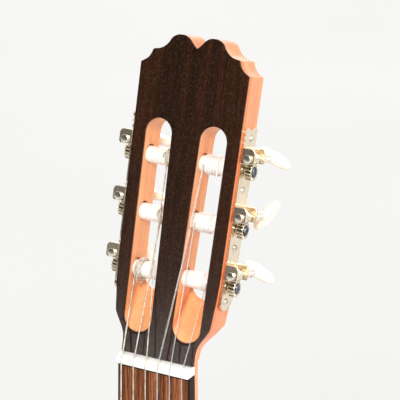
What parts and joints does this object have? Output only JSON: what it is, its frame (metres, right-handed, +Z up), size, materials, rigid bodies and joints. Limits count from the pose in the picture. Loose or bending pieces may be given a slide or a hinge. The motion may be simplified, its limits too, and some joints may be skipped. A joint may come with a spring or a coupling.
{
  "type": "classical guitar",
  "caption": "Classical guitar with a slotted head, geared tuning machines, nylon strings, a fan-braced spruce-like top and dark back and sides.",
  "frame": {"origin": "the seat of a wall hanger's yoke, between the two shoulders where the head widens above the nut, at mid-depth of the wood", "axes": "+Z up the neck towards the head, -Y out of the soundboard towards the player, +X to the treble side"},
  "size_m": [0.368, 0.1157, 1.0064],
  "materials": {
    "top_wood": "glossy lacquered spruce, pale orange",
    "body_wood": "glossy lacquered dark rosewood-like laminate",
    "binding_wood": "dark wood edging under lacquer",
    "neck_wood": "satin salmon-orange mahogany-like wood",
    "inner_wood": "unfinished pale wood",
    "head_veneer_wood": "very dark brown satin veneer with fine speckle",
    "fingerboard_wood": "open-grained reddish brown, oiled",
    "bridge_wood": "dark rosewood-like, satin",
    "bone": "white, lightly polished",
    "nickel": "warm nickel plate, slightly worn",
    "roller_plastic": "white moulded plastic",
    "button_plastic": "cream pearl-like plastic",
    "nylon": "clear drawn nylon",
    "wound_wire": "silver-plated wire winding",
    "rosette_inlay": "inlaid rings and mosaic under lacquer"
  },
  "bodies": {
    "guitar": {"soundboard": "top_wood", "back": "body_wood", "bass_rib": "body_wood", "treble_rib": "body_wood", "top_binding": "binding_wood", "back_binding": "binding_wood", "neck": "neck_wood", "headstock": "neck_wood", "head_veneer": "head_veneer_wood", "heel_cap": "body_wood", "fingerboard": "fingerboard_wood", "bridge": "bridge_wood", "saddle": "bone", "nut": "bone", "rosette": "rosette_inlay", "bass_machine_plate": "nickel", "treble_machine_plate": "nickel", "neck_block": "inner_wood", "tail_block": "inner_wood", "bass_top_lining": "inner_wood", "treble_top_lining": "inner_wood", "bass_back_lining": "inner_wood", "treble_back_lining": "inner_wood", "upper_transverse_bar": "inner_wood", "lower_transverse_bar": "inner_wood", "fan_bracing": "inner_wood", "back_brace_1": "inner_wood", "back_brace_2": "inner_wood", "back_brace_3": "inner_wood", "back_centre_strip": "inner_wood", "string_1": "nylon", "string_2": "nylon", "string_3": "nylon", "string_4": "wound_wire", "string_5": "wound_wire", "string_6": "wound_wire"},
    "post_1": {"gear_1": "nickel", "roller_1": "roller_plastic"},
    "knob_1": {"worm_1": "nickel", "button_1": "button_plastic"},
    "post_2": {"gear_2": "nickel", "roller_2": "roller_plastic"},
    "knob_2": {"worm_2": "nickel", "button_2": "button_plastic"},
    "post_3": {"gear_3": "nickel", "roller_3": "roller_plastic"},
    "knob_3": {"worm_3": "nickel", "button_3": "button_plastic"},
    "post_4": {"gear_4": "nickel", "roller_4": "roller_plastic"},
    "knob_4": {"worm_4": "nickel", "button_4": "button_plastic"},
    "post_5": {"gear_5": "nickel", "roller_5": "roller_plastic"},
    "knob_5": {"worm_5": "nickel", "button_5": "button_plastic"},
    "post_6": {"gear_6": "nickel", "roller_6": "roller_plastic"},
    "knob_6": {"worm_6": "nickel", "button_6": "button_plastic"}
  },
  "joints": [
    {"name": "knob_1_turn", "type": "hinge", "parent": "guitar", "child": "knob_1", "pos_m": [0.04044, 0.01292, 0.03551], "axis": [0, 0.9673, -0.2538], "continuous": true},
    {"name": "post_1_turn", "type": "hinge", "parent": "guitar", "child": "post_1", "pos_m": [0.018, 0.0107, 0.02823], "axis": [1, 0, 0], "continuous": true},
    {"name": "knob_2_turn", "type": "hinge", "parent": "guitar", "child": "knob_2", "pos_m": [0.04085, 0.0218, 0.06936], "axis": [0, 0.9673, -0.2538], "continuous": true},
    {"name": "post_2_turn", "type": "hinge", "parent": "guitar", "child": "post_2", "pos_m": [0.018, 0.01959, 0.06208], "axis": [1, 0, 0], "continuous": true},
    {"name": "knob_3_turn", "type": "hinge", "parent": "guitar", "child": "knob_3", "pos_m": [0.04125, 0.03069, 0.10321], "axis": [0, 0.9673, -0.2538], "continuous": true},
    {"name": "post_3_turn", "type": "hinge", "parent": "guitar", "child": "post_3", "pos_m": [0.018, 0.02847, 0.09594], "axis": [1, 0, 0], "continuous": true},
    {"name": "knob_4_turn", "type": "hinge", "parent": "guitar", "child": "knob_4", "pos_m": [-0.04125, 0.03069, 0.10321], "axis": [0, 0.9673, -0.2538], "continuous": true},
    {"name": "post_4_turn", "type": "hinge", "parent": "guitar", "child": "post_4", "pos_m": [-0.018, 0.02847, 0.09594], "axis": [1, 0, 0], "continuous": true},
    {"name": "knob_5_turn", "type": "hinge", "parent": "guitar", "child": "knob_5", "pos_m": [-0.04085, 0.0218, 0.06936], "axis": [0, 0.9673, -0.2538], "continuous": true},
    {"name": "post_5_turn", "type": "hinge", "parent": "guitar", "child": "post_5", "pos_m": [-0.018, 0.01959, 0.06208], "axis": [1, 0, 0], "continuous": true},
    {"name": "knob_6_turn", "type": "hinge", "parent": "guitar", "child": "knob_6", "pos_m": [-0.04044, 0.01292, 0.03551], "axis": [0, 0.9673, -0.2538], "continuous": true},
    {"name": "post_6_turn", "type": "hinge", "parent": "guitar", "child": "post_6", "pos_m": [-0.018, 0.0107, 0.02823], "axis": [1, 0, 0], "continuous": true}
  ],
  "couplings": [
    {"joint": "post_1_turn", "follows": "knob_1_turn", "ratio": 0.071429},
    {"joint": "post_2_turn", "follows": "knob_2_turn", "ratio": 0.071429},
    {"joint": "post_3_turn", "follows": "knob_3_turn", "ratio": 0.071429},
    {"joint": "post_4_turn", "follows": "knob_4_turn", "ratio": 0.071429},
    {"joint": "post_5_turn", "follows": "knob_5_turn", "ratio": 0.071429},
    {"joint": "post_6_turn", "follows": "knob_6_turn", "ratio": 0.071429}
  ]
}
